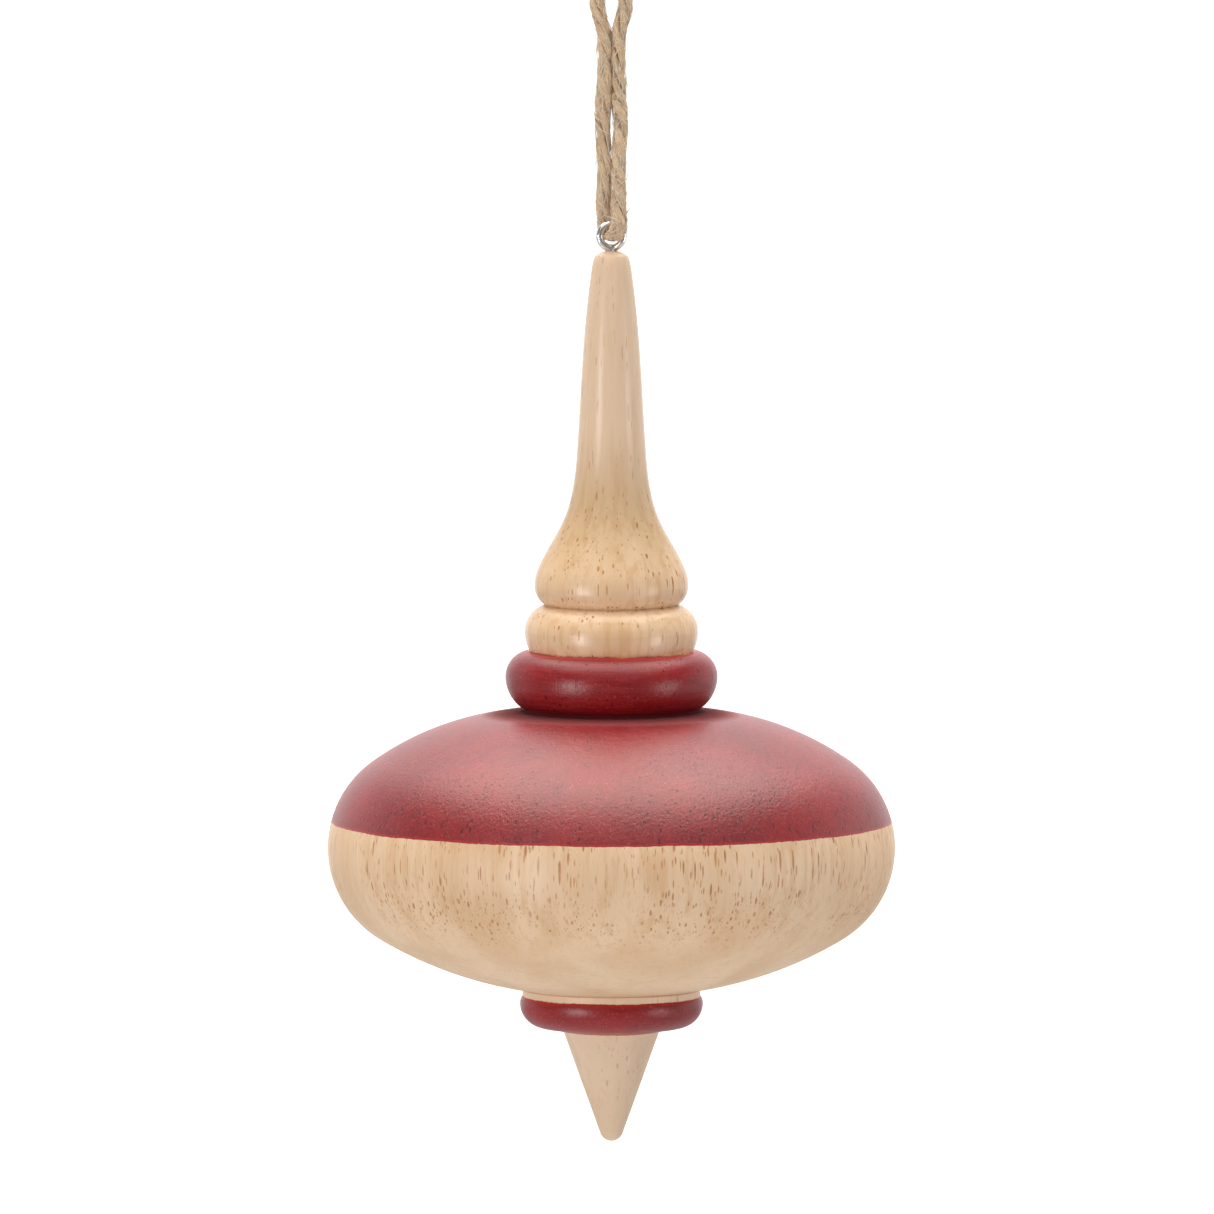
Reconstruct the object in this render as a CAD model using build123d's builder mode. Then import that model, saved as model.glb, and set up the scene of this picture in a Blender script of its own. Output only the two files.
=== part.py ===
"""Turned wooden ornament in the shape of a spinning top, hung by a twine loop from a screw eye.

Millimetres, +Z up. The origin is the inside top of the twine loop, where a hook bears, so the
whole ornament hangs below it. The wooden pieces are turned about the Z axis.
"""

import os
from math import acos, asin, atan2, cos, degrees, hypot, pi, radians, sin, sqrt, tan

from build123d import *

# ---- twine: one length of jute twine, doubled through the eye and knotted above the hook
twine_diameter = 2.7
loop_drop = 48.0  # from the hook down to the top of the screw eye
leg_gap = 0.3  # between the two legs where they hang side by side
hook_room = 3.5  # between them where they part round the hook
free_level = -13.0  # the two legs are free to twist below this level
eye_seat_gap = 0.2  # between the twine and the wire that rests on it
eye_bend_room = 0.15  # more than that side by side, before and behind the wire
knot_diameter = 9.4
knot_foot_diameter = 6.2
tail_length = 9.0
tail_lean = 18.0  # degrees that each cut end leans out

# ---- screw eye: round wire, bent to a ring above a threaded shank
wire_diameter = 1.5
eye_width = 6.4
eye_turn = 15.0  # degrees that the ring is turned about the vertical
eye_bend_radius = 2.0  # of the wire's centre line, where the shank turns into the ring
eye_closing_angle = 15.0  # degrees below the middle, where the wire leaves the ring's plane
eye_end_drop = 2.35  # of the wire's cut end below the ring's centre, behind the shank
eye_end_gap = 0.15  # between the cut end and the shank
eye_sink = 0.3  # how far the ring's foot is turned down into the wood
shank_length = 11.0  # in the wood
plain_shank_length = 1.6
thread_root_diameter = 1.1
thread_pitch = 0.8
shank_point_length = 1.4
pilot_end_room = 1.0

# ---- upper finial: neck, two beads and the painted collar, all one turning
neck_length = 64.3
neck_top_diameter = 8.1
neck_cap_diameter = 6.5
neck_cap_height = 1.05
neck_waist_diameter = 13.7
neck_flare_diameter = 19.0
upper_bead_diameter = 31.0
upper_bead_height = 7.1
lower_bead_diameter = 34.9
lower_bead_height = 9.3
bead_groove_diameter = 26.8
collar_groove_diameter = 33.0
collar_diameter = 42.7
collar_height = 11.8
collar_foot_diameter = 35.2
collar_foot_height = 0.4
flare_step = 0.65  # how far the upper bead stands out from the end of the neck's flare

# ---- body: the wide turned disc, with a flat seat above and below
body_diameter = 114.3
body_height = 56.0  # from seat to seat
crown_height = 27.6  # from the upper seat down to the widest level
rim_radius = 21.0
crown_rim_sweep = 54.5  # degrees of the rim's curve above the widest level
keel_rim_sweep = 59.0  # and below it
seat_margin = 0.4  # how far each seat reaches past the piece that stands on it

# ---- lower finial: lip, painted ring and pointed tip, all one turning
lip_diameter = 35.8
lip_height = 1.5
lip_chamfer = 0.35
ring_diameter = 36.9
ring_shoulder_height = 1.5  # from the lip down to the ring's widest level
ring_round_radius = 4.9
ring_undercut = 0.8
cone_root_diameter = 19.4
cone_length = 22.3
cone_tip_radius = 2.4

# ---- dowel pins that join the three turnings
dowel_diameter = 8.0
dowel_length = 30.0
dowel_chamfer = 1.0
dowel_clearance = 0.05
dowel_end_room = 1.0  # for glue, at each end of a dowel
flute_count = 20
flute_depth = 0.25

# ---- levels, from the hook down
ring_line_radius = (eye_width - wire_diameter) / 2
eye_centre = -loop_drop - eye_width / 2
neck_top = eye_centre - eye_width / 2 + eye_sink
upper_bead_top = neck_top - neck_length
upper_bead_widest = upper_bead_top - 0.46 * upper_bead_height
lower_bead_top = upper_bead_top - upper_bead_height
lower_bead_widest = lower_bead_top - 0.57 * lower_bead_height
collar_top = lower_bead_top - lower_bead_height
collar_widest = collar_top - 0.44 * collar_height
upper_seat = collar_top - collar_height - collar_foot_height
widest_level = upper_seat - crown_height
lower_seat = upper_seat - body_height
ring_top = lower_seat - lip_height
ring_widest = ring_top - ring_shoulder_height
cone_root = ring_widest - ring_round_radius - ring_undercut
tip_level = cone_root - cone_length

leg_offset = (twine_diameter + leg_gap) / 2
hook_leg_offset = (twine_diameter + hook_room) / 2
bend_reach = (wire_diameter + twine_diameter) / 2 + eye_bend_room
twine_seat = eye_centre + ring_line_radius - (wire_diameter + twine_diameter) / 2 - eye_seat_gap

dowel_hole_diameter = dowel_diameter + 2 * dowel_clearance
dowel_hole_depth = dowel_length / 2 + dowel_end_room

# the vertical plane of the eye's ring: x runs across the ring and y straight up
ring_across = (cos(radians(eye_turn)), sin(radians(eye_turn)), 0)
ring_normal = (sin(radians(eye_turn)), -cos(radians(eye_turn)), 0)
ring_plane = Plane(origin=(0, 0, eye_centre), x_dir=ring_across, z_dir=ring_normal)


# the twine's route down the right leg, through the eye from front to back, and up the left leg
leg_route = [
    (leg_offset, 0, free_level),
    (leg_offset, 0, -22),
    (leg_offset + 0.35, -0.15, -29.5),
    (leg_offset, -0.35, -37.5),
    (leg_offset + 0.6, -0.9, -44.4),
    (leg_offset, -bend_reach, twine_seat),
    (-leg_offset, bend_reach, twine_seat),
    (-leg_offset - 0.55, 1.0, -44.8),
    (-leg_offset + 0.05, 0.3, -37),
    (-leg_offset - 0.3, 0.1, -30),
    (-leg_offset, 0, -21.5),
    (-leg_offset, 0, free_level),
]
# and from there up past the hook into the knot, on the right; the left is its mirror image
hook_route = [
    (leg_offset, 0, free_level),
    (leg_offset, 0, free_level + 3),
    (hook_leg_offset, 0, -4.5),
    (1.9, 0, 0.8),
]


def bead_outline(top, widest, bottom):
    """Draw a bead from its top edge, round its widest point, to its bottom edge."""
    TangentArc(widest, top, tangent=(0, 1))
    TangentArc(widest, bottom, tangent=(0, -1))


def drill(diameter, depth, mouth, direction):
    """Cut a blind hole on the axis from the level of its mouth; direction is 1 up or -1 down."""
    with Locations((0, 0, mouth + direction * depth / 2)):
        Cylinder(diameter / 2, depth, mode=Mode.SUBTRACT)


def make_upper_finial():
    neck_radius = neck_top_diameter / 2
    cap_edge = (neck_cap_diameter / 2, neck_top - neck_cap_height)
    shoulder = (neck_radius, neck_top - neck_radius)
    waist = (neck_waist_diameter / 2, neck_top - 0.61 * neck_length)
    flare = (neck_flare_diameter / 2, neck_top - 0.84 * neck_length)
    flare_end = (upper_bead_diameter / 2 - flare_step, upper_bead_top)
    # the flare runs into the bead without a crease, at the slope that the bead's arc ends with
    bead_lean = 2 * atan2(flare_step, upper_bead_top - upper_bead_widest)
    into_bead = (sin(bead_lean), -cos(bead_lean))
    bead_groove = (bead_groove_diameter / 2, lower_bead_top)
    collar_groove = (collar_groove_diameter / 2, collar_top)
    foot = (collar_foot_diameter / 2, upper_seat)
    foot_top = (collar_foot_diameter / 2, upper_seat + collar_foot_height)
    with BuildPart() as upper_finial:
        with BuildSketch(Plane.XZ):
            with BuildLine():
                TangentArc((0, neck_top), cap_edge, tangent=(1, 0))
                Spline(cap_edge, shoulder, waist, flare, flare_end, tangents=[(0.6, -1), into_bead])
                bead_outline(flare_end, (upper_bead_diameter / 2, upper_bead_widest), bead_groove)
                bead_outline(bead_groove, (lower_bead_diameter / 2, lower_bead_widest), collar_groove)
                bead_outline(collar_groove, (collar_diameter / 2, collar_widest), foot_top)
                Polyline(foot_top, foot, (0, upper_seat), (0, neck_top))
            make_face()
        revolve(axis=Axis.Z)
        drill(dowel_hole_diameter, dowel_hole_depth, upper_seat, 1)
        drill(thread_root_diameter, shank_length + pilot_end_room, neck_top, -1)
    return upper_finial


def make_body():
    rim_centre = body_diameter / 2 - rim_radius
    widest = (rim_centre + rim_radius, widest_level)
    upper_edge = (collar_foot_diameter / 2 + seat_margin, upper_seat)
    lower_edge = (lip_diameter / 2 + seat_margin, lower_seat)
    with BuildPart() as body:
        with BuildSketch(Plane.XZ):
            with BuildLine():
                crown_rim = JernArc(widest, (0, 1), rim_radius, crown_rim_sweep)
                TangentArc(crown_rim @ 1, upper_edge, tangent=crown_rim % 1)
                keel_rim = JernArc(widest, (0, -1), rim_radius, -keel_rim_sweep)
                TangentArc(keel_rim @ 1, lower_edge, tangent=keel_rim % 1)
                Polyline(upper_edge, (0, upper_seat), (0, lower_seat), lower_edge)
            make_face()
        revolve(axis=Axis.Z)
        drill(dowel_hole_diameter, dowel_hole_depth, upper_seat, -1)
        drill(dowel_hole_diameter, dowel_hole_depth, lower_seat, 1)
    return body


def ball_contact(root_radius, length, ball_radius):
    """Where a cone's side meets the ball at its tip, as (radius, depth below the root)."""
    drop = length - ball_radius
    half_angle = atan2(root_radius, drop) - asin(ball_radius / hypot(root_radius, drop))
    return ball_radius * cos(half_angle), drop + ball_radius * sin(half_angle)


def make_lower_finial():
    lip_radius = lip_diameter / 2
    lip_face = (lip_radius - lip_chamfer, lower_seat)
    lip_corner = (lip_radius, lower_seat - lip_chamfer)
    lip_foot = (lip_radius, ring_top)
    ring_edge = (ring_diameter / 2, ring_widest)
    cone_start = (cone_root_diameter / 2, cone_root)
    contact_radius, contact_depth = ball_contact(cone_start[0], cone_length, cone_tip_radius)
    ball_edge = (contact_radius, cone_root - contact_depth)
    with BuildPart() as lower_finial:
        with BuildSketch(Plane.XZ):
            with BuildLine():
                Polyline((0, tip_level), (0, lower_seat), lip_face, lip_corner, lip_foot)
                TangentArc(ring_edge, lip_foot, tangent=(0, 1))
                ring_round = JernArc(ring_edge, (0, -1), ring_round_radius, -90)
                Polyline(ring_round @ 1, cone_start, ball_edge)
                TangentArc((0, tip_level), ball_edge, tangent=(1, 0))
            make_face()
        revolve(axis=Axis.Z)
        drill(dowel_hole_diameter, dowel_hole_depth, lower_seat, -1)
    return lower_finial


def make_dowel(seat):
    """A fluted dowel pin, half of it above the seat and half below."""
    low = seat - dowel_length / 2
    high = seat + dowel_length / 2
    radius = dowel_diameter / 2
    with BuildPart() as dowel:
        with BuildSketch(Plane.XZ):
            with BuildLine():
                Polyline(
                    (0, low),
                    (radius - dowel_chamfer, low),
                    (radius, low + dowel_chamfer),
                    (radius, high - dowel_chamfer),
                    (radius - dowel_chamfer, high),
                    (0, high),
                    close=True,
                )
            make_face()
        revolve(axis=Axis.Z)
        with BuildSketch(Plane.XY.offset(low)):
            with PolarLocations(radius, flute_count):
                Rectangle(2 * flute_depth, 2 * flute_depth)
        extrude(amount=dowel_length, mode=Mode.SUBTRACT)
    return dowel


def make_screw_eye():
    """The wire rises from its thread, bends left into a ring and ends close behind its shank."""
    bend_drop = sqrt(ring_line_radius**2 + 2 * ring_line_radius * eye_bend_radius)
    bend_sweep = degrees(atan2(bend_drop, eye_bend_radius))
    ring_sweep = 180 + bend_sweep + eye_closing_angle
    cut_end = (0, -eye_end_drop, -wire_diameter - eye_end_gap)
    thread_top = neck_top - plain_shank_length
    point_top = neck_top - shank_length + shank_point_length
    root_radius = thread_root_diameter / 2
    tooth_height = (wire_diameter - thread_root_diameter) / 2
    tooth_root = -0.1 * root_radius  # each tooth starts a little inside the root
    half_tooth = 0.27 * thread_pitch
    with BuildPart() as screw_eye:
        with BuildLine(ring_plane) as wire_line:
            shank = Line((0, thread_top - eye_centre), (0, -bend_drop))
            bend = JernArc(shank @ 1, shank % 1, eye_bend_radius, bend_sweep)
            ring = JernArc(bend @ 1, bend % 1, ring_line_radius, -ring_sweep)
            TangentArc(ring @ 1, cut_end, tangent=ring % 1)
        with BuildSketch(Plane.XY.offset(thread_top)):
            Circle(wire_diameter / 2)
        sweep(path=wire_line.line)
        with BuildSketch(Plane.XZ):
            with BuildLine():
                Polyline(
                    (0, thread_top),
                    (root_radius, thread_top),
                    (root_radius, point_top),
                    (0, point_top - shank_point_length),
                    close=True,
                )
            make_face()
        revolve(axis=Axis.Z)
        with BuildLine(Plane.XY.offset(point_top)) as thread_line:
            Helix(thread_pitch, thread_top - point_top - half_tooth, root_radius)
        with BuildSketch(Plane(origin=thread_line.line @ 0, x_dir=(1, 0, 0), z_dir=(0, 1, 0))):
            with BuildLine():
                Polyline(
                    (tooth_root, -half_tooth), (tooth_height, 0), (tooth_root, half_tooth), close=True
                )
            make_face()
        sweep(path=thread_line.line, is_frenet=True)
    return screw_eye


def corner_radii(route):
    """The largest even bend at each corner: 0.45 of the shorter run beside it."""
    points = [Vector(point) for point in route]
    radii = []
    for before, corner, after in zip(points, points[1:], points[2:]):
        half_turn = radians((corner - before).get_angle(after - corner)) / 2
        shorter = min((corner - before).length, (after - corner).length)
        radii.append(0.45 * shorter / tan(half_turn))
    return radii


def twine_line(route):
    """Draw a stretch of twine as straight runs joined by tangent bends."""
    radii = corner_radii(route)
    print("twine bend radii", [round(radius, 1) for radius in radii])
    return FilletPolyline(*route, radius=radii)


def make_twine_legs():
    """Both free legs and the bend through the eye, in one length."""
    with BuildPart() as twine_legs:
        with BuildLine() as line:
            twine_line(leg_route)
        with BuildSketch(Plane(origin=leg_route[0], z_dir=(0, 0, -1))):
            Circle(twine_diameter / 2)
        sweep(path=line.line)
    return twine_legs


def make_twine_top():
    """The two stretches that part round the hook, from the free legs up into the knot."""
    with BuildPart() as twine_top:
        with BuildLine() as line:
            twine_line(hook_route)
        with BuildSketch(Plane(origin=hook_route[0], z_dir=(0, 0, 1))):
            Circle(twine_diameter / 2)
        sweep(path=line.line)
        mirror(about=Plane.YZ)
    return twine_top


def make_twine_knot():
    """Both ends tied together in an overhand knot, whose flat foot is level with the hook."""
    ball_radius = knot_diameter / 2
    ball_level = sqrt(ball_radius**2 - (knot_foot_diameter / 2) ** 2)
    tail_root_level = ball_level + ball_radius - twine_diameter
    with BuildPart() as twine_knot:
        with Locations((0, 0, ball_level)):
            Sphere(ball_radius)
        split(bisect_by=Plane.XY, keep=Keep.TOP)
        for side in (1, -1):
            tail_root = (side * twine_diameter / 2, 0, tail_root_level)
            tail_way = (side * sin(radians(tail_lean)), 0, cos(radians(tail_lean)))
            with BuildSketch(Plane(origin=tail_root, z_dir=tail_way)):
                Circle(twine_diameter / 2)
            extrude(amount=tail_length + twine_diameter)
    return twine_knot


def report_twine(piece, route):
    """Compare a twine solid's volume with its section times the length of its line."""
    length = FilletPolyline(*route, radius=corner_radii(route)).length
    tube = pi * (twine_diameter / 2) ** 2 * length
    print(f"twine {length:.1f} long, volume {piece.part.volume:.1f}, section x length {tube:.1f}")


parts = {
    "upper_finial": make_upper_finial(),
    "body": make_body(),
    "lower_finial": make_lower_finial(),
    "upper_dowel": make_dowel(upper_seat),
    "lower_dowel": make_dowel(lower_seat),
    "screw_eye": make_screw_eye(),
    "twine_legs": make_twine_legs(),
    "twine_top": make_twine_top(),
    "twine_knot": make_twine_knot(),
}
report_twine(parts["twine_legs"], leg_route)
os.makedirs("parts", exist_ok=True)
for name, piece in parts.items():
    piece.part.label = name
    export_step(piece.part, f"parts/{name}.step")
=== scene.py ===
"""A turned wooden ornament on a loop of jute twine: its materials, twine, studio and camera."""

import bisect
import math
import random

import bpy
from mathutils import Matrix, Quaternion, Vector, noise


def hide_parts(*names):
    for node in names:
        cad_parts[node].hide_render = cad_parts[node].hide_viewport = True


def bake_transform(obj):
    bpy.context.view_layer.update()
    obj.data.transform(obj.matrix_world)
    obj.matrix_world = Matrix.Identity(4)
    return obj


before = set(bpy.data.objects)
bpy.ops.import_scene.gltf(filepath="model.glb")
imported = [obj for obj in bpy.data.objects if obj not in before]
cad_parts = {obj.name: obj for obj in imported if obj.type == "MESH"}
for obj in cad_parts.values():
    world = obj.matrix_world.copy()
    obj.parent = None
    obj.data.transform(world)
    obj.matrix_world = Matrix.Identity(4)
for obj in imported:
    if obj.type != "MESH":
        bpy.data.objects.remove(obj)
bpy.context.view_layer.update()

MM = 0.001
random.seed(11)

# ---------------------------------------------------------------- node helpers


def new_material(name):
    material = bpy.data.materials.new(name)
    material.use_nodes = True
    tree = material.node_tree
    tree.nodes.clear()
    output = tree.nodes.new("ShaderNodeOutputMaterial")
    shader = tree.nodes.new("ShaderNodeBsdfPrincipled")
    tree.links.new(shader.outputs[0], output.inputs["Surface"])
    return material, tree, shader


def add(tree, kind, inputs=(), **settings):
    made = tree.nodes.new(kind)
    for name, value in settings.items():
        setattr(made, name, value)
    for socket, value in dict(inputs).items():
        if isinstance(value, bpy.types.NodeSocket):
            tree.links.new(value, made.inputs[socket])
        else:
            made.inputs[socket].default_value = value
    return made


def math_node(tree, operation, a, b=0.0, c=0.0):
    return add(tree, "ShaderNodeMath", {0: a, 1: b, 2: c}, operation=operation).outputs[0]


def times(tree, a, b):
    return math_node(tree, "MULTIPLY", a, b)


def scaled(tree, vector, factors):
    made = add(tree, "ShaderNodeVectorMath", {0: vector, 1: factors}, operation="MULTIPLY")
    return made.outputs[0]


def shifted(tree, vector, offset):
    made = add(tree, "ShaderNodeVectorMath", {0: vector, 1: offset}, operation="ADD")
    return made.outputs[0]


def drawn_out(tree, place, share):
    """The place with its height scaled, so that a pattern made from it is drawn out along the grain."""
    return scaled(tree, place, (1, 1, share))


def height_of(tree, place):
    return add(tree, "ShaderNodeSeparateXYZ", {0: place}).outputs[2]


def noise_value(tree, vector, scale, detail=3.0, roughness=0.5, distortion=0.0):
    made = add(
        tree,
        "ShaderNodeTexNoise",
        {
            "Vector": vector,
            "Scale": scale,
            "Detail": detail,
            "Roughness": roughness,
            "Distortion": distortion,
        },
    )
    return made.outputs[0]


def ramp(tree, value, low, high, to_low=0.0, to_high=1.0):
    """A smooth step from to_low where the value is low to to_high where it is high."""
    made = add(
        tree,
        "ShaderNodeMapRange",
        {"Value": value, "From Min": low, "From Max": high, "To Min": to_low, "To Max": to_high},
        clamp=True,
        interpolation_type="SMOOTHSTEP",
    )
    return made.outputs[0]


def mix_colour(tree, factor, a, b, blend="MIX"):
    made = add(tree, "ShaderNodeMix", {"Factor": factor}, data_type="RGBA", blend_type=blend)
    colour_a, colour_b, colour_result = 6, 7, 2
    for socket, value in ((colour_a, a), (colour_b, b)):
        if isinstance(value, bpy.types.NodeSocket):
            tree.links.new(value, made.inputs[socket])
        else:
            made.inputs[socket].default_value = (*value, 1)
    return made.outputs[colour_result]


def overlay(tree, colour, tone, pattern, low, high, most):
    """Lay a tone over the colour where the pattern goes from low to high, at most by this share."""
    return mix_colour(tree, ramp(tree, pattern, low, high, 0, most), colour, tone)


def mix_value(tree, factor, a, b):
    made = add(tree, "ShaderNodeMix", {0: factor, 2: a, 3: b}, data_type="FLOAT")
    return made.outputs[0]


def set_shader(tree, shader, linked=(), **constants):
    for name, value in dict(linked).items():
        tree.links.new(value, shader.inputs[name])
    for name, value in constants.items():
        shader.inputs[name.replace("_", " ")].default_value = value


# ---------------------------------------------------------------- levels of the bands
BODY_PAINT_END = -169.2 * MM  # the crown is painted down to here
RING_PAINT_TOP = -204.6 * MM
RING_PAINT_END = -211.6 * MM
COLLAR_PAINT_TOP = -134.8 * MM
UPPER_SEAT = -147.0 * MM  # the collar sits on the body here
FLARE_START = (-122 * MM, -110 * MM)  # painted shade on the flare sets in between these levels
FLARE_END = (-107 * MM, -88 * MM)  # and fades out between these
NECK_PALE = (-118 * MM, -85 * MM)  # the wood grows paler from the first level up to the second
TIP_PAINTED_LIGHT = (-250 * MM, -240 * MM)  # both lie below the tip, so the whole lower finial is paler: painted light, lifting wood that the lamps leave too dark
PORE_ZONE = (-188 * MM, -182 * MM)  # the body's pores grow few from the second level down to the first

# ---------------------------------------------------------------- colours of wood and paint
WOOD_LIGHT = (0.82, 0.59, 0.39)
WOOD_DARK = (0.73, 0.485, 0.285)
WOOD_STAIN = (0.66, 0.385, 0.185)
# Painted shade, multiplied into the wood over the flare
FLARE_SHADE = (0.80, 0.78, 0.70)
# Paler wood: up the neck it is the wood's own tone; on the lower finial it is painted light
PALE_WOOD_AND_LIGHT = (0.78, 0.63, 0.50)
WOOD_LINE = (0.60, 0.34, 0.15)
PORE_LIGHT = (0.56, 0.235, 0.065)
PORE_DARK = (0.40, 0.135, 0.035)
PAINT_RED = (0.285, 0.009, 0.013)
PAINT_DEEP = (0.21, 0.006, 0.009)
PAINT_LIGHT = (0.42, 0.035, 0.04)
PAINT_DARK = (0.13, 0.003, 0.006)
PAINT_DUST = (0.62, 0.20, 0.18)
PAINT_RIM = (0.47, 0.012, 0.022)
PIT = (0.085, 0.002, 0.005)

# ---------------------------------------------------------------- wood and paint
# The first number of each noise is its count of features per metre.

CLUSTER_STRETCH = 0.35  # pores and pits crowd together in patches that are drawn out this much
EDGE_WANDER = 0.8 * MM  # span of a brushed edge's slow wander round the piece
EDGE_RAG = 0.40 * MM  # and of its fine ragged line
EDGE_BLUR = 0.04 * MM
RIM_WIDTH = 0.45 * MM  # the paint is brighter this close to its edge
SEAT_SHADE = (1.1 * MM, 0.2 * MM)  # painted shade: the paint is darkened between these distances from the collar's seat, where the parts meet


def pores(tree, place, cell, stretch, size, kept):
    """Vessels cut open by the lathe: thin tubes along the grain.

    They are streaks on upright faces and dots on others. The size is their reach as a share of a cell,
    and only the kept share of the cells holds one.
    """
    spots = add(
        tree,
        "ShaderNodeTexVoronoi",
        {"Vector": drawn_out(tree, place, stretch), "Scale": 1 / cell, "Randomness": 1.0},
    )
    lot = add(tree, "ShaderNodeSeparateColor", {0: spots.outputs["Color"]})
    keep = math_node(tree, "LESS_THAN", lot.outputs[0], kept)
    smallest, spread, soft_edge = size * 0.55, size * 0.7, size * 0.35
    reach = math_node(tree, "MULTIPLY_ADD", lot.outputs[1], spread, smallest)
    near = math_node(tree, "SUBTRACT", reach, spots.outputs["Distance"])
    return times(tree, ramp(tree, near, 0.0, soft_edge), keep)


def wood_look(tree, place, pore_share, cluster_low, gloss, pore_zone):
    """Pale close-grained hardwood under a clear finish: returns its colour, height and roughness."""
    bands = noise_value(tree, drawn_out(tree, place, 0.07), 75, 2.0, 0.5, 0.3)
    lines = noise_value(tree, drawn_out(tree, place, 0.05), 620, 4.0, 0.6)
    fibre = noise_value(tree, drawn_out(tree, place, 0.035), 3000, 3.0, 0.6)
    speckle = noise_value(tree, place, 2600, 2.0, 0.5)
    colour = mix_colour(tree, ramp(tree, bands, 0.35, 0.68), WOOD_LIGHT, WOOD_DARK)
    colour = overlay(tree, colour, WOOD_LINE, lines, 0.48, 0.74, 0.30)
    colour = overlay(tree, colour, WOOD_LINE, fibre, 0.50, 0.76, 0.30)
    colour = overlay(tree, colour, WOOD_LINE, speckle, 0.58, 0.78, 0.22)

    cluster = noise_value(tree, drawn_out(tree, place, CLUSTER_STRETCH), 58, 2.0, 0.5)
    crowd = ramp(tree, cluster, cluster_low, cluster_low + 0.14)
    if pore_zone:
        level = math_node(tree, "MULTIPLY_ADD", bands, 6 * MM, height_of(tree, place))
        crowd = times(tree, crowd, ramp(tree, level, *pore_zone, 0.12, 1.0))
    pore = pores(tree, place, 1.0 * MM, 0.085, 0.27, pore_share)
    for offset, cell, stretch, size, share in (
        ((0.3, 0.1, 0.2), 0.7 * MM, 0.17, 0.27, 0.9),
        ((0.6, 0.2, 0.5), 0.55 * MM, 0.045, 0.22, 0.55),
    ):
        finer = pores(tree, shifted(tree, place, offset), cell, stretch, size, pore_share * share)
        pore = math_node(tree, "MAXIMUM", pore, times(tree, finer, 0.8))
    pore = times(tree, pore, crowd)

    stain = times(tree, crowd, ramp(tree, lines, 0.42, 0.66, 0, 0.38))
    colour = mix_colour(tree, stain, colour, WOOD_STAIN)
    tint = noise_value(tree, place, 400, 1.0)
    pore_colour = mix_colour(tree, ramp(tree, tint, 0.35, 0.65), PORE_LIGHT, PORE_DARK)
    colour = mix_colour(tree, times(tree, pore, 0.85), colour, pore_colour)
    height = math_node(tree, "MULTIPLY_ADD", fibre, 0.35, times(tree, lines, 0.35))
    height = math_node(tree, "SUBTRACT", height, times(tree, pore, 0.25))
    rough = math_node(tree, "MULTIPLY_ADD", fibre, 0.16, gloss)
    return colour, height, rough


def lathe_lines(tree, place):
    """Fine rings left round the axis by turning and brushing."""
    flat = drawn_out(tree, place, 0)
    radius = add(tree, "ShaderNodeVectorMath", {0: flat}, operation="LENGTH").outputs["Value"]
    parts = add(tree, "ShaderNodeSeparateXYZ", {0: place})
    angle = math_node(tree, "ARCTAN2", parts.outputs[1], parts.outputs[0])
    drift = times(tree, angle, 0.0016)  # the rings change this slowly on their way round
    vector = add(tree, "ShaderNodeCombineXYZ", {0: radius, 1: parts.outputs[2], 2: drift}).outputs[0]
    fine = noise_value(tree, shifted(tree, vector, (0.7, 0.7, 0)), 2300, 3.0, 0.6)
    wide = noise_value(tree, shifted(tree, vector, (0, 0.7, 0.7)), 800, 3.0, 0.6)
    return math_node(tree, "MULTIPLY_ADD", fine, 0.5, times(tree, wide, 0.5))


def paint_look(tree, place, pit_share, cluster_low, grit):
    """Satin red paint, thin enough for the open pores to show as dark pits, with painted shade at the
    collar's seat.
    """
    broad = noise_value(tree, place, 70, 3.0, 0.55)
    rings = lathe_lines(tree, place)
    mottle = noise_value(tree, place, 1500, 4.0, 0.65)
    dust = noise_value(tree, shifted(tree, place, (0.7, 0.1, 0.4)), 2400, 2.0, 0.5)
    colour = mix_colour(tree, ramp(tree, broad, 0.3, 0.7), PAINT_DEEP, PAINT_RED)
    colour = overlay(tree, colour, PAINT_LIGHT, rings, 0.46, 0.66, 0.38)
    colour = overlay(tree, colour, PAINT_DARK, mottle, 0.52, 0.74, 0.55)
    colour = overlay(tree, colour, PAINT_DUST, dust, 0.62, 0.76, 0.45)

    cluster = noise_value(tree, drawn_out(tree, place, CLUSTER_STRETCH), 62, 2.0, 0.5)
    crowd = ramp(tree, cluster, cluster_low, cluster_low + 0.10)
    pits = pores(tree, place, 1.05 * MM, 0.13, 0.25, pit_share)
    specks = pores(tree, shifted(tree, place, (0.1, 0.4, 0.2)), 0.75 * MM, 0.3, 0.23, pit_share * 0.7)
    pit = times(tree, math_node(tree, "MAXIMUM", pits, specks), crowd)
    colour = mix_colour(tree, times(tree, pit, 0.95), colour, PIT)
    height = math_node(tree, "MULTIPLY_ADD", rings, grit * 0.5, times(tree, mottle, grit))
    height = math_node(tree, "SUBTRACT", height, times(tree, pit, 0.8))
    rough = math_node(tree, "MULTIPLY_ADD", rings, 0.14, 0.27)

    # Painted shade at the collar's seat: the paint is darkened and made fully rough where the collar meets
    # the body.
    from_seat = math_node(tree, "SUBTRACT", height_of(tree, place), UPPER_SEAT)
    shade = ramp(tree, math_node(tree, "ABSOLUTE", from_seat), *SEAT_SHADE)
    colour = mix_colour(tree, times(tree, shade, 0.75), colour, PAINT_DARK)
    rough = mix_value(tree, shade, rough, 1.0)
    return colour, height, rough


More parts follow.
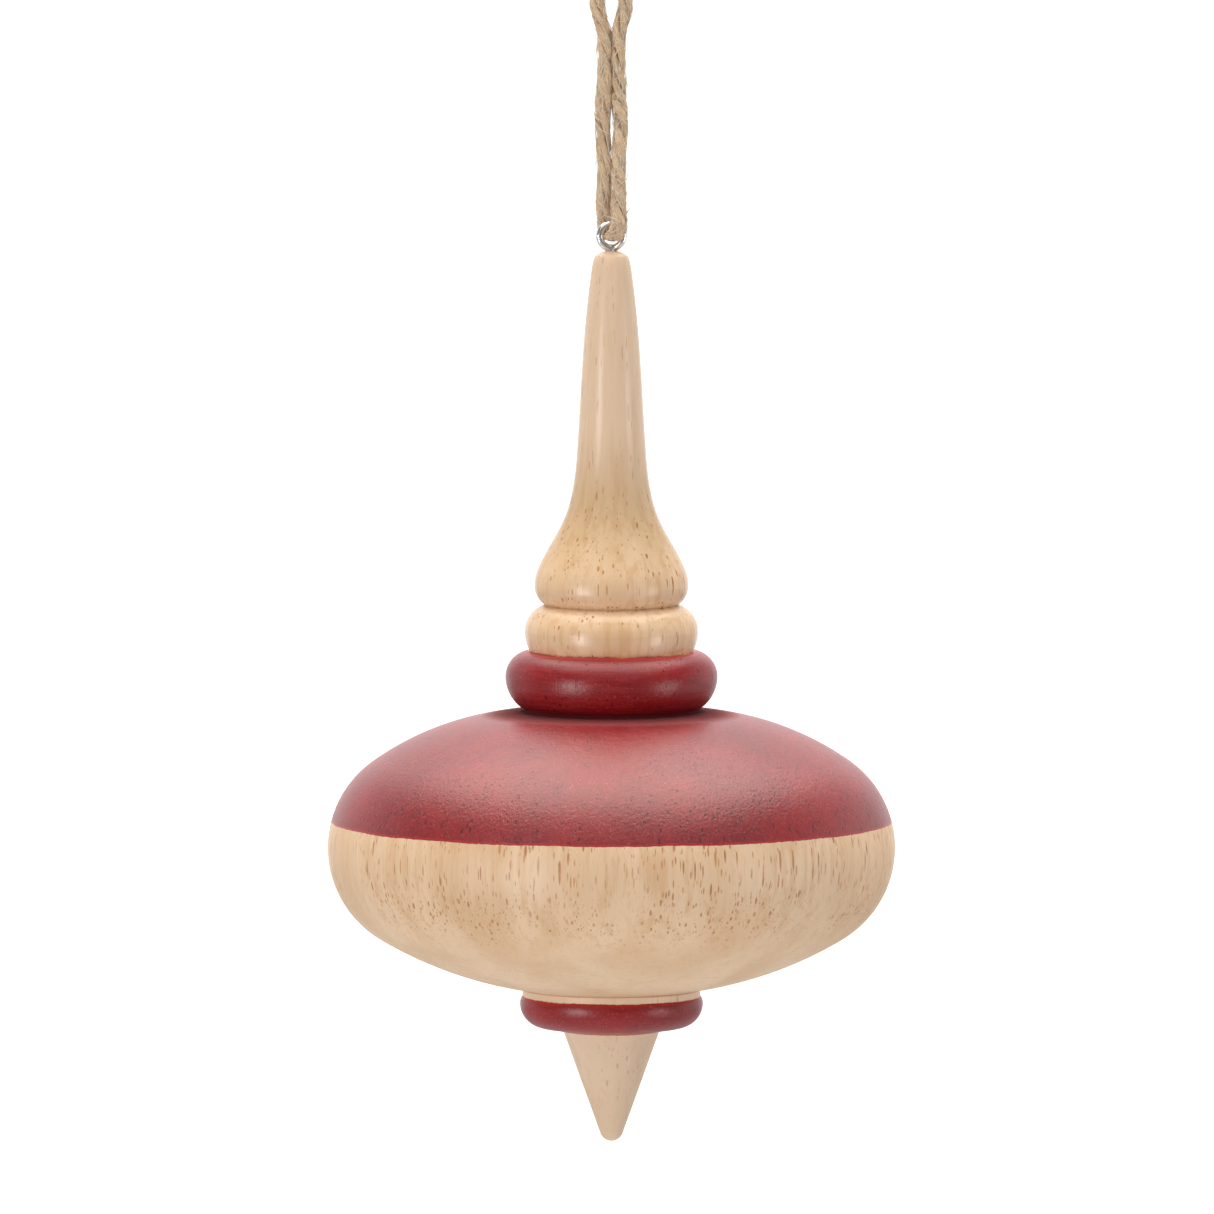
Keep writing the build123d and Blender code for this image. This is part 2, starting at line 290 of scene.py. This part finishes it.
def painted_share(tree, place, edges):
    """1 where the paint lies: above (1) or below (-1) each edge, which wanders as a brushed line does."""
    wander = noise_value(tree, drawn_out(tree, place, 0), 55, 2.0)
    ragged = noise_value(tree, place, 750, 3.0, 0.65)
    level = height_of(tree, place)
    for pattern, reach in ((wander, EDGE_WANDER), (ragged, EDGE_RAG)):
        level = math_node(tree, "MULTIPLY_ADD", math_node(tree, "SUBTRACT", pattern, 0.5), reach, level)
    share = None
    for edge, side in edges:
        past = times(tree, math_node(tree, "SUBTRACT", level, edge), side)
        here = ramp(tree, past, -EDGE_BLUR, EDGE_BLUR)
        share = here if share is None else times(tree, share, here)
    return share


def turned_material(
    name,
    offset,
    edges,
    pore_share,
    pore_cluster,
    pit_share,
    pit_cluster,
    gloss,
    ior,
    grit,
    pale=None,
    flare=False,
    pore_zone=None,
):
    """Wood with painted bands; the offset moves its pattern, so that no two pieces share one.

    A higher cluster value leaves fewer patches with pores or pits in them.
    """
    material, tree, shader = new_material(name)
    here = add(tree, "ShaderNodeTexCoord").outputs["Object"]
    place = shifted(tree, here, offset)
    colour, height, rough = wood_look(tree, place, pore_share, pore_cluster, gloss, pore_zone)
    upright = height_of(tree, here)
    # Paler towards the neck as the wood is; the lower finial's paler tone is painted light.
    if pale:
        colour = overlay(tree, colour, PALE_WOOD_AND_LIGHT, upright, *pale, 0.5)
    # Painted shade: the wood colour is darkened over the flare, which faces up into the overhead light.
    if flare:
        rising = ramp(tree, upright, *FLARE_START)
        falling = ramp(tree, upright, *reversed(FLARE_END))
        colour = mix_colour(tree, times(tree, rising, falling), colour, FLARE_SHADE, "MULTIPLY")

    share = painted_share(tree, here, edges)
    red, red_height, red_rough = paint_look(tree, place, pit_share, pit_cluster, grit)
    inside = painted_share(tree, here, [(edge + side * RIM_WIDTH, side) for edge, side in edges])
    rim = times(tree, math_node(tree, "SUBTRACT", 1.0, inside), 0.6)
    red = mix_colour(tree, rim, red, PAINT_RIM)
    colour = mix_colour(tree, share, colour, red)
    height = mix_value(tree, share, height, math_node(tree, "ADD", red_height, 0.6))
    rough = mix_value(tree, share, rough, red_rough)
    bump = add(tree, "ShaderNodeBump", {"Strength": 0.55, "Distance": 0.10 * MM, "Height": height})
    linked = {"Base Color": colour, "Roughness": rough, "Normal": bump.outputs[0]}
    set_shader(tree, shader, linked, IOR=ior)
    return material


upper_wood = turned_material(
    "clear_finished_wood",
    offset=(0, 0, 0),
    edges=[(COLLAR_PAINT_TOP, -1)],
    pore_share=0.36,
    pore_cluster=0.22,
    pit_share=0.60,
    pit_cluster=0.46,
    gloss=0.17,
    ior=1.5,
    grit=1.0,
    pale=NECK_PALE,
    flare=True,
)
body_wood = turned_material(
    "red_painted_wood",
    offset=(0.02, 0.05, 0),
    edges=[(BODY_PAINT_END, 1)],
    pore_share=0.95,
    pore_cluster=0.34,
    pit_share=0.95,
    pit_cluster=0.38,
    gloss=0.40,
    ior=1.70,
    grit=2.4,
    pore_zone=PORE_ZONE,
)
lower_wood = turned_material(
    "clear_finished_wood_tip",
    offset=(0.05, 0.02, 0.01),
    edges=[(RING_PAINT_TOP, -1), (RING_PAINT_END, 1)],
    pore_share=0.45,
    pore_cluster=0.44,
    pit_share=0.35,
    pit_cluster=0.56,
    gloss=0.36,
    ior=1.5,
    grit=1.0,
    pale=TIP_PAINTED_LIGHT,
)


def dowel_material():
    """Bare beech, with its short dark flecks."""
    material, tree, shader = new_material("dowel_wood")
    place = add(tree, "ShaderNodeTexCoord").outputs["Object"]
    fibre = noise_value(tree, drawn_out(tree, place, 0.04), 2200, 3.0, 0.6)
    flecks = noise_value(tree, drawn_out(tree, place, 0.2), 900, 2.0)
    colour = mix_colour(tree, ramp(tree, fibre, 0.35, 0.7), (0.72, 0.54, 0.37), (0.58, 0.40, 0.25))
    colour = overlay(tree, colour, (0.40, 0.24, 0.13), flecks, 0.6, 0.7, 0.6)
    bump = add(tree, "ShaderNodeBump", {"Strength": 0.5, "Distance": 0.08 * MM, "Height": fibre})
    set_shader(tree, shader, {"Base Color": colour, "Normal": bump.outputs[0]}, Roughness=0.62)
    return material


def nickel_material():
    """Bright plated wire with a little haze."""
    material, tree, shader = new_material("nickel_plated_steel")
    place = add(tree, "ShaderNodeTexCoord").outputs["Object"]
    haze = noise_value(tree, place, 1500, 4.0, 0.6)
    drawn = noise_value(tree, drawn_out(tree, place, 0.3), 4200, 2.0)
    colour = mix_colour(tree, ramp(tree, haze, 0.35, 0.7), (0.94, 0.92, 0.89), (0.84, 0.82, 0.79))
    rough = ramp(tree, haze, 0.3, 0.75, 0.14, 0.26)
    bump = add(tree, "ShaderNodeBump", {"Strength": 0.25, "Distance": 0.03 * MM, "Height": drawn})
    linked = {"Base Color": colour, "Roughness": rough, "Normal": bump.outputs[0]}
    set_shader(tree, shader, linked, Metallic=1.0)
    return material


beech = dowel_material()
for node, material in (
    ("upper_finial", upper_wood),
    ("body", body_wood),
    ("lower_finial", lower_wood),
    ("upper_dowel", beech),
    ("lower_dowel", beech),
    ("screw_eye", nickel_material()),
):
    for material_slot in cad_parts[node].material_slots:
        material_slot.material = material

# ---------------------------------------------------------------- the twine's line

TWINE = 2.7 * MM

# Control points of the line in millimetres, from the right cut end down to the eye and up to the left one
right_tail = [
    (4.7, 1.1, 16.6),
    (3.4, 1.3, 13.0),
    (1.7, 1.6, 9.6),
    (1.4, 1.6, 5.5),
    (1.0, 2.1, 1.6),
    (-1.8, 2.2, 0.9),
]
right_wrap = [(-4.1, 0.7, 2.6), (-2.2, 3.8, 3.1), (1.6, 4.3, 3.6), (4.5, 1.4, 4.1), (4.0, -2.6, 4.6)]
right_core = [(1.6, -3.2, 6.4), (1.3, -1.6, 4.4), (1.55, -0.9, 1.6), (1.9, -0.3, 0.0)]
right_hook = [(3.1, 0, -4.5), (1.42, 0, -10), (1.4, 0, -13)]
right_leg = [(1.35, 0, -22), (1.95, -0.15, -29), (1.35, -0.4, -36.5), (1.5, -1.0, -44.4)]
eye_bend = [(1.5, -2.25, -51.05), (-1.5, 2.25, -51.05)]
left_leg = [(-1.5, 1.1, -44.8), (-1.3, 0.3, -36), (-1.95, 0.1, -29.5), (-1.35, 0, -21.5)]
left_hook = [(-1.4, 0, -13), (-1.42, 0, -10), (-3.1, 0, -4.5)]
left_core = [(-1.9, -0.3, 0.0), (-1.5, -0.9, 2.2), (-1.3, -1.4, 6.0), (-0.6, -2.9, 9.2)]
left_wrap = [(2.6, -3.8, 7.6), (4.7, -0.4, 7.0), (3.2, 3.4, 6.4), (-1.2, 4.4, 5.8), (-4.2, 1.9, 5.3)]
left_tail = [(-3.9, 0.4, 4.2), (-1.6, 1.2, 5.2), (-1.4, 1.5, 8.8), (-2.8, 1.3, 13.0), (-4.3, 1.4, 17.0)]
twine_route = (
    right_tail
    + right_wrap
    + right_core
    + right_hook
    + right_leg
    + eye_bend
    + left_leg
    + left_hook
    + left_core
    + left_wrap
    + left_tail
)


def nurbs_points(route):
    """Points along the smooth line that the route's points control."""
    points_per_span = 24
    curve = bpy.data.curves.new("twine_line", "CURVE")
    curve.dimensions = "3D"
    spline = curve.splines.new("NURBS")
    spline.points.add(len(route) - 1)
    for point, place in zip(spline.points, route):
        point.co = (*(value * MM for value in place), 1)
    spline.order_u = 3
    spline.use_endpoint_u = True
    spline.resolution_u = points_per_span
    holder = bpy.data.objects.new("twine_line", curve)
    bpy.context.scene.collection.objects.link(holder)
    bpy.context.view_layer.update()
    mesh = bpy.data.meshes.new_from_object(holder)
    points = [vertex.co.copy() for vertex in mesh.vertices]
    bpy.data.objects.remove(holder)
    bpy.data.curves.remove(curve)
    bpy.data.meshes.remove(mesh)
    return points


class Line:
    """The twine's centre line, with a frame that doesn't twist, read at any length along it."""

    def __init__(self, points, step):
        marks = [0.0]
        for a, b in zip(points, points[1:]):
            marks.append(marks[-1] + (b - a).length)
        self.length = marks[-1]
        self.count = round(self.length / step) + 1
        self.step = self.length / (self.count - 1)
        self.places = [self._between(points, marks, i * self.step) for i in range(self.count)]
        self.along = []
        for i in range(self.count):
            before = self.places[max(i - 1, 0)]
            after = self.places[min(i + 1, self.count - 1)]
            self.along.append((after - before).normalized())
        side = self.along[0].orthogonal().normalized()
        self.sides = [side]
        for a, b in zip(self.along, self.along[1:]):
            side = (a.rotation_difference(b) @ side).normalized()
            side = (side - b * side.dot(b)).normalized()
            self.sides.append(side)

    @staticmethod
    def _between(points, marks, at):
        i = min(max(bisect.bisect_right(marks, at) - 1, 0), len(points) - 2)
        share = (at - marks[i]) / max(marks[i + 1] - marks[i], 1e-12)
        return points[i].lerp(points[i + 1], share)

    def at(self, distance):
        i = min(max(distance / self.step, 0), self.count - 1.001)
        low, share = int(i), i - int(i)
        place = self.places[low].lerp(self.places[low + 1], share)
        along = self.along[low].lerp(self.along[low + 1], share).normalized()
        side = self.sides[low].lerp(self.sides[low + 1], share)
        side = (side - along * side.dot(along)).normalized()
        return place, along, side

    def offset(self, distance, angle, radius):
        place, along, side = self.at(distance)
        return place + (side * math.cos(angle) + along.cross(side) * math.sin(angle)) * radius


twine_line = Line(nurbs_points(twine_route), 0.30 * MM)
CROWN = Vector((0, 0, -51.05)) * MM  # where the bend passes under the eye's crown


def slow_noise(seed, distance, wavelength):
    """A smooth random value from about -1 to 1 that changes slowly along the twine."""
    return 2.0 * noise.noise(Vector((distance / wavelength, seed * 7.31, seed * 3.17)))


# ---------------------------------------------------------------- plies and fibres of the twine
PLIES = 3
LAY = 15.5 * MM  # length of one full turn of the plies
PLY_RADIUS = 0.80 * MM
PLY_OFFSET = 0.71 * MM
AROUND = 28  # corners of a ply's outline
RIDGES = 7
END_ROUNDING = 0.8 * MM
# Where the twine is loosely spun: side of the axis, level, reach, and the share by which it is fuller
BULGES = [
    (-1, -24.6 * MM, 3.0 * MM, 0.16),
    (-1, -44.0 * MM, 2.6 * MM, 0.16),
    (1, -43.5 * MM, 2.2 * MM, 0.08),
]
# Seeds of the slow noises; those of a ply have its number added
LAY_SEED = 1
PHASE_SEED = 20
OFFSET_SEED = 30
RADIUS_SEED = 40
RIDGE_SEED = 50

turns = []  # how far the plies have turned at each place of the line
turned = 0.0
for i in range(twine_line.count):
    turns.append(turned)
    lay = LAY * (1 + 0.28 * slow_noise(LAY_SEED, i * twine_line.step, 9 * MM))
    turned -= math.tau * twine_line.step / lay


def fullness(place):
    """How much thicker than usual the loosely spun twine is here."""
    more = 0.0
    for side, level, reach, extra in BULGES:
        if place.x * side > 0:
            more += extra * math.exp(-(((place.z - level) / reach) ** 2))
    return 1 + more


def pressed(point, place):
    """Flatten the twine a little where it bears on the wire of the eye."""
    near = math.exp(-(((place - CROWN).length / (2.6 * MM)) ** 2))
    off = point - place
    wider, fuller, flatter = 1 + 0.22 * near, 1 + 0.05 * near, 1 - 0.16 * near
    return place + Vector((off.x * wider, off.y * fuller, off.z * flatter))


def depth_value(point, place):
    """0 in the furrows between the plies, 1 on the outside of the twine; painted shade darkens the jute
    where it is low.
    """
    from_line = (point - place).length / (TWINE / 2)
    return min(max((from_line - 0.45) / 0.55, 0.0), 1.0)


def ply_mesh(builder, ply):
    """One ply: a soft ridged bundle of fibres that winds round the twine's line."""
    rings = []
    for i in range(twine_line.count):
        distance = i * twine_line.step
        place, along, side = twine_line.places[i], twine_line.along[i], twine_line.sides[i]
        across = along.cross(side)
        phase = turns[i] + ply * math.tau / PLIES + 0.18 * slow_noise(PHASE_SEED + ply, distance, 6 * MM)
        full = fullness(place)
        offset = PLY_OFFSET * full * (1 + 0.10 * slow_noise(OFFSET_SEED + ply, distance, 5 * MM))
        radius = PLY_RADIUS * full * (1 + 0.15 * slow_noise(RADIUS_SEED + ply, distance, 6 * MM))
        from_end = min(distance, twine_line.length - distance)
        if from_end < END_ROUNDING:
            radius *= 0.55 + 0.45 * math.sqrt(from_end / END_ROUNDING)
        out = side * math.cos(phase) + across * math.sin(phase)
        centre = place + out * offset
        round_way = along.cross(out)
        ridge_drift = 0.8 * slow_noise(RIDGE_SEED + ply, distance, 4 * MM)
        ring = []
        for k in range(AROUND):
            angle = math.tau * k / AROUND
            ridge = abs(math.sin(0.5 * RIDGES * angle + 0.9 * turns[i] + ridge_drift))
            spot = (math.cos(angle) * 2.2 + ply * 9, math.sin(angle) * 2.2, distance / (1.7 * MM))
            reach = radius * (0.90 + 0.12 * ridge + 0.16 * noise.noise(Vector(spot)))
            point = centre + out * (math.cos(angle) * reach) + round_way * (math.sin(angle) * reach * 1.06)
            point = pressed(point, place)
            on_map = (k / AROUND * 4.4, distance / MM)
            ring.append(builder.vertex(point, on_map, depth_value(point, place)))
        rings.append(ring)
    builder.tube(rings)


class MeshBuilder:
    """Collects rings of vertices and joins them into closed tubes, with a map along each tube."""

    def __init__(self):
        self.points, self.maps, self.depths, self.faces = [], [], [], []

    def vertex(self, point, place_on_map, depth):
        self.points.append(tuple(point))
        self.maps.append(place_on_map)
        self.depths.append(depth)
        return len(self.points) - 1

    def tube(self, rings):
        size = len(rings[0])
        for a, b in zip(rings, rings[1:]):
            for k in range(size):
                following = (k + 1) % size
                self.faces.append((a[k], a[following], b[following], b[k]))
        self.faces.append(tuple(reversed(rings[0])))
        self.faces.append(tuple(rings[-1]))

    def build(self, name, material):
        mesh = bpy.data.meshes.new(name)
        mesh.from_pydata(self.points, [], self.faces)
        layer = mesh.uv_layers.new(name="along")
        for loop, corner in zip(mesh.loops, layer.data):
            corner.uv = self.maps[loop.vertex_index]
        depth = mesh.attributes.new("depth", "FLOAT", "POINT")
        depth.data.foreach_set("value", self.depths)
        mesh.polygons.foreach_set("use_smooth", [True] * len(mesh.polygons))
        mesh.materials.append(material)
        mesh.update()
        made = bpy.data.objects.new(name, mesh)
        bpy.context.scene.collection.objects.link(made)
        return made


JUTE_PALE = (0.95, 0.77, 0.57)
JUTE_DEEP = (0.38, 0.235, 0.13)
JUTE_FURROW_SHADE = (0.24, 0.135, 0.07)


def jute_material(name, lights, darks, sheen):
    """Jute: strands along the twine, with painted shade darkening the furrows between the plies."""
    material, tree, shader = new_material(name)
    along = add(tree, "ShaderNodeUVMap", uv_map="along").outputs[0]
    place = add(tree, "ShaderNodeTexCoord").outputs["Object"]
    strands = noise_value(tree, scaled(tree, along, (7.5, 0.55, 1)), 1.0, 4.0, 0.65)
    threads = noise_value(tree, scaled(tree, along, (20.0, 1.1, 1)), 1.0, 3.0, 0.6)
    patches = noise_value(tree, place, 330, 2.0)
    depth = add(tree, "ShaderNodeAttribute", attribute_name="depth").outputs["Fac"]
    colour = mix_colour(tree, ramp(tree, strands, 0.34, 0.66), darks, lights)
    colour = overlay(tree, colour, JUTE_PALE, threads, 0.50, 0.70, 0.75)
    colour = overlay(tree, colour, JUTE_DEEP, threads, 0.50, 0.30, 0.80)
    colour = overlay(tree, colour, darks, patches, 0.4, 0.68, 0.35)
    # Painted shade in the furrows between the plies: the colour darkens where the depth is low.
    colour = overlay(tree, colour, JUTE_FURROW_SHADE, depth, 0.72, 0.1, 0.9)
    height = math_node(tree, "ADD", times(tree, strands, 0.5), threads)
    bump = add(tree, "ShaderNodeBump", {"Strength": 0.7, "Distance": 0.12 * MM, "Height": height})
    set_shader(
        tree,
        shader,
        {"Base Color": colour, "Normal": bump.outputs[0]},
        Roughness=0.82,
        Sheen_Weight=sheen,
        Sheen_Roughness=0.5,
        Sheen_Tint=(1.0, 0.86, 0.70, 1),
    )
    return material


jute = jute_material("jute_twine", (0.93, 0.71, 0.49), (0.52, 0.345, 0.20), 0.15)
stray_jute = jute_material("jute_fibre", (0.97, 0.90, 0.77), (0.90, 0.77, 0.60), 0.1)

builder = MeshBuilder()
for ply in range(PLIES):
    ply_mesh(builder, ply)
rope = builder.build("twine", jute)

FIBRES = 900
FIBRE_PIECES = 12
FIBRE_CORNERS = 3
FIBRE_LEVEL = 1.46 * MM  # how far from the line a fibre lies on the twine
END_MARGIN = 0.2 * MM


def stray_fibre(builder):
    """A loose fibre that lies across the plies, and often stands off them at one end."""
    start = random.uniform(1.5 * MM, twine_line.length - 1.5 * MM)
    run = random.uniform(1.4, 6.5) * MM * random.choice((1, -1))
    angle = random.uniform(0, math.tau)
    sweep = random.gauss(0, 1.7)
    lift = max(random.gauss(-0.15, 0.45), -0.08) * MM
    curl = random.uniform(-1.0, 1.0)
    thick = random.choice((random.uniform(0.04, 0.09), random.uniform(0.04, 0.09), 0.12)) * MM
    line = []
    for i in range(FIBRE_PIECES + 1):
        share = i / FIBRE_PIECES
        distance = min(max(start + run * share, END_MARGIN), twine_line.length - END_MARGIN)
        place = twine_line.at(distance)[0]
        turn = angle + sweep * share + curl * 0.5 * share * share
        base = FIBRE_LEVEL * fullness(place) + 0.03 * MM * math.sin(9 * share + angle)
        height = base + lift * share * share * 1.3
        line.append(pressed(twine_line.offset(distance, turn, height), place))
    rings = []
    for i, point in enumerate(line):
        along = (line[min(i + 1, FIBRE_PIECES)] - line[max(i - 1, 0)]).normalized()
        side = along.orthogonal().normalized()
        taper = 0.45 + 0.55 * math.sin(math.pi * min(max(i / FIBRE_PIECES, 0.04), 0.96))
        ring = []
        for k in range(FIBRE_CORNERS):
            way = side.copy()
            way.rotate(Quaternion(along, math.tau * k / FIBRE_CORNERS))
            on_map = (k / FIBRE_CORNERS, i * 0.4 + start / MM)
            ring.append(builder.vertex(point + way * thick * taper, on_map, 1.0))
        rings.append(ring)
    builder.tube(rings)


builder = MeshBuilder()
for _ in range(FIBRES):
    stray_fibre(builder)
fuzz = builder.build("twine_fibres", stray_jute)

for piece in (rope, fuzz):
    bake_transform(piece)
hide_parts("twine_legs", "twine_top", "twine_knot")

# ---------------------------------------------------------------- floor, backdrop, lights and camera
# Lengths in metres and powers in watts

FLOOR = -1.7
FLOOR_FRONT = -9.0
WALL_AT = 5.7
WALL_HEIGHT = 9.5
BEND_RADIUS = 1.5  # of the curve between the floor and the wall
BEND_STEPS = 24
HALF_WIDTH = 14
AMBIENT = 0.20
LIGHT_WHITE = (1.0, 0.972, 0.945)
LIGHT_WARM = (1.0, 0.955, 0.875)
LIGHT_AIM = Vector((0, 0, -0.15))


def stage_material():
    """White card that glows; less at the sides, and least on the floor."""
    material, tree, shader = new_material("studio_white")
    place = add(tree, "ShaderNodeTexCoord").outputs["Object"]
    parts = add(tree, "ShaderNodeSeparateXYZ", {0: place})
    aside = ramp(tree, math_node(tree, "ABSOLUTE", parts.outputs[0]), 1.8, 4.6, 1.0, 0.55)
    tone = noise_value(tree, place, 0.8, 2.0)
    colour = mix_colour(tree, tone, (0.62, 0.62, 0.62), (0.60, 0.60, 0.60))
    glow = times(tree, ramp(tree, parts.outputs[2], FLOOR, FLOOR + 0.75, 0.16, 1.0), aside)
    shader.inputs["Emission Color"].default_value = (1, 1, 1, 1)
    set_shader(tree, shader, {"Base Color": colour, "Emission Strength": glow}, Roughness=0.9)
    return material


def sweep_backdrop():
    """A floor that curves up into a wall behind the object."""
    profile = [(FLOOR_FRONT, 0.0)]
    for i in range(BEND_STEPS + 1):
        turn = math.radians(90 * i / BEND_STEPS)
        out, up = BEND_RADIUS * math.sin(turn), BEND_RADIUS * (1 - math.cos(turn))
        profile.append((WALL_AT - BEND_RADIUS + out, up))
    profile.append((WALL_AT, WALL_HEIGHT))
    points = [(x, y, z + FLOOR) for x in (-HALF_WIDTH, HALF_WIDTH) for y, z in profile]
    count = len(profile)
    faces = [(i, i + count, i + count + 1, i + 1) for i in range(count - 1)]
    mesh = bpy.data.meshes.new("studio_sweep")
    mesh.from_pydata(points, [], faces)
    mesh.polygons.foreach_set("use_smooth", [True] * len(mesh.polygons))
    mesh.materials.append(stage_material())
    made = bpy.data.objects.new("studio_sweep", mesh)
    bpy.context.scene.collection.objects.link(made)
    return made


def softbox(name, azimuth, elevation, distance, width, height, power, tint=LIGHT_WHITE):
    """A soft area light; azimuth 0 is the viewer's side and turns towards the viewer's right."""
    turn, rise = math.radians(azimuth), math.radians(elevation)
    way = Vector((math.sin(turn) * math.cos(rise), -math.cos(turn) * math.cos(rise), math.sin(rise)))
    light = bpy.data.lights.new(name, "AREA")
    light.shape = "RECTANGLE"
    light.size, light.size_y = width, height
    light.energy = power
    light.color = tint
    lamp = bpy.data.objects.new(name, light)
    lamp.location = LIGHT_AIM + way * distance
    lamp.rotation_euler = way.to_track_quat("Z", "Y").to_euler()
    bpy.context.scene.collection.objects.link(lamp)


sweep_backdrop()
softbox("key_left", -44, -9, 1.7, width=0.45, height=0.9, power=12)
softbox("fill_right", 64, -10, 1.7, width=0.42, height=0.85, power=6)
softbox("side_left", -108, 0, 2.0, width=1.2, height=1.8, power=1.5)
softbox("side_right", 106, 0, 2.0, width=1.2, height=1.8, power=3)
softbox("overhead", 180, 84, 1.9, width=3.0, height=2.5, power=80, tint=LIGHT_WARM)
softbox("front_top", 5, 40, 2.0, width=2.6, height=0.9, power=5)

world = bpy.data.worlds.new("studio")
world.use_nodes = True
background = world.node_tree.nodes["Background"]
background.inputs["Color"].default_value = (1, 1, 1, 1)
background.inputs["Strength"].default_value = AMBIENT
bpy.context.scene.world = world
bpy.context.scene.view_settings.view_transform = "Standard"

CAMERA_DISTANCE = 4.0
CAMERA_RISE = math.radians(4.7)
AIM = Vector((-0.9, 0, -126)) * MM
camera_data = bpy.data.cameras.new("camera")
camera_data.sensor_width = 36
camera_data.lens = 589.5
camera_data.clip_end = 100
camera = bpy.data.objects.new("camera", camera_data)
back = Vector((0, -math.cos(CAMERA_RISE), math.sin(CAMERA_RISE)))
camera.location = AIM + back * CAMERA_DISTANCE
camera.rotation_euler = back.to_track_quat("Z", "Y").to_euler()
bpy.context.scene.collection.objects.link(camera)
bpy.context.scene.camera = camera
